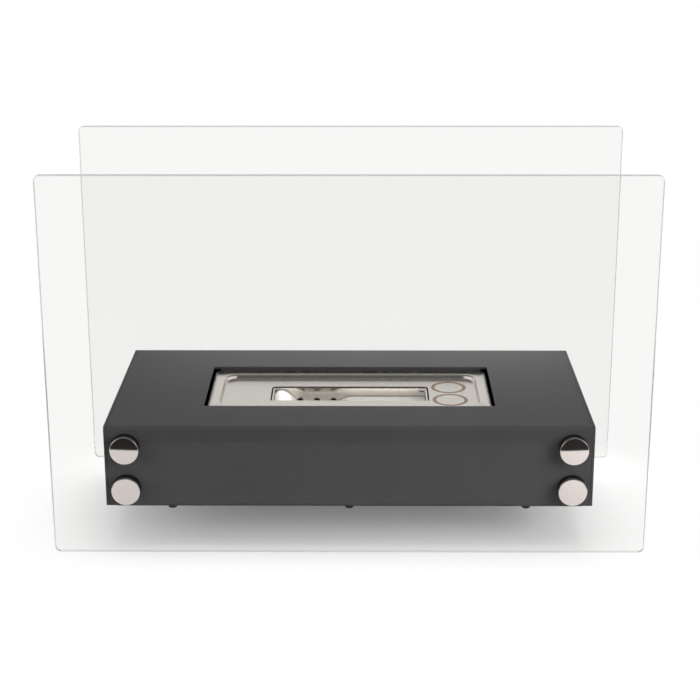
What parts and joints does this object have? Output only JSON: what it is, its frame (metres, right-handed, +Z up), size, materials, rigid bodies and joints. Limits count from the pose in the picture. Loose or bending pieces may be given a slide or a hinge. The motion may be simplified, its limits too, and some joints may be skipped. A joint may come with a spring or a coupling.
{
  "type": "bioethanol fireplace",
  "caption": "Tabletop bioethanol fireplace: glass panes stand on the surface and hold a folded steel housing between them, with a lift-out stainless burner in its top.",
  "frame": {"origin": "on the surface that the panes stand on, below the centre of the housing", "axes": "+X to the right along the panes, +Y to the rear, +Z up; the front faces -Y"},
  "size_m": [0.5, 0.235, 0.325],
  "materials": {
    "clear_glass": "clear tempered float glass with ground edges",
    "powder_coat": "fine matt anthracite powder coat",
    "stainless": "satin stainless steel",
    "chrome": "polished",
    "zinc_plate": "bright zinc plate",
    "rubber": "matt black",
    "nylon": "natural nylon",
    "ceramic_wool": "loose white ceramic fibre"
  },
  "bodies": {
    "stand": {"front_glass": "clear_glass", "rear_glass": "clear_glass", "housing_shell": "powder_coat", "end_plate_left": "powder_coat", "end_plate_right": "powder_coat", "bottom_cover": "powder_coat", "burner_rail_front": "powder_coat", "burner_rail_rear": "powder_coat", "cover_screw_1": "zinc_plate", "cover_screw_2": "zinc_plate", "cover_screw_3": "zinc_plate", "cover_screw_4": "zinc_plate", "cover_screw_5": "zinc_plate", "cover_screw_6": "zinc_plate", "cap_screw_front_upper_left": "chrome", "cap_screw_front_upper_right": "chrome", "cap_screw_front_lower_left": "chrome", "cap_screw_front_lower_right": "chrome", "cap_screw_rear_upper_left": "chrome", "cap_screw_rear_upper_right": "chrome", "cap_screw_rear_lower_left": "chrome", "cap_screw_rear_lower_right": "chrome", "glass_bush_front_upper_left": "nylon", "glass_bush_front_upper_right": "nylon", "glass_bush_front_lower_left": "nylon", "glass_bush_front_lower_right": "nylon", "glass_bush_rear_upper_left": "nylon", "glass_bush_rear_upper_right": "nylon", "glass_bush_rear_lower_left": "nylon", "glass_bush_rear_lower_right": "nylon", "inner_washer_front_upper_left": "rubber", "inner_washer_front_upper_right": "rubber", "inner_washer_front_lower_left": "rubber", "inner_washer_front_lower_right": "rubber", "inner_washer_rear_upper_left": "rubber", "inner_washer_rear_upper_right": "rubber", "inner_washer_rear_lower_left": "rubber", "inner_washer_rear_lower_right": "rubber", "rivet_nut_front_upper_left": "zinc_plate", "rivet_nut_front_upper_right": "zinc_plate", "rivet_nut_front_lower_left": "zinc_plate", "rivet_nut_front_lower_right": "zinc_plate", "rivet_nut_rear_upper_left": "zinc_plate", "rivet_nut_rear_upper_right": "zinc_plate", "rivet_nut_rear_lower_left": "zinc_plate", "rivet_nut_rear_lower_right": "zinc_plate"},
    "burner": {"burner_tray": "stainless", "fuel_tank": "stainless", "perforated_trough": "stainless", "ceramic_wool": "ceramic_wool"}
  },
  "joints": [
    {"name": "burner_lift", "type": "slide", "parent": "stand", "child": "burner", "axis": [0, 0, 1], "range_m": [0, 0.275]}
  ]
}
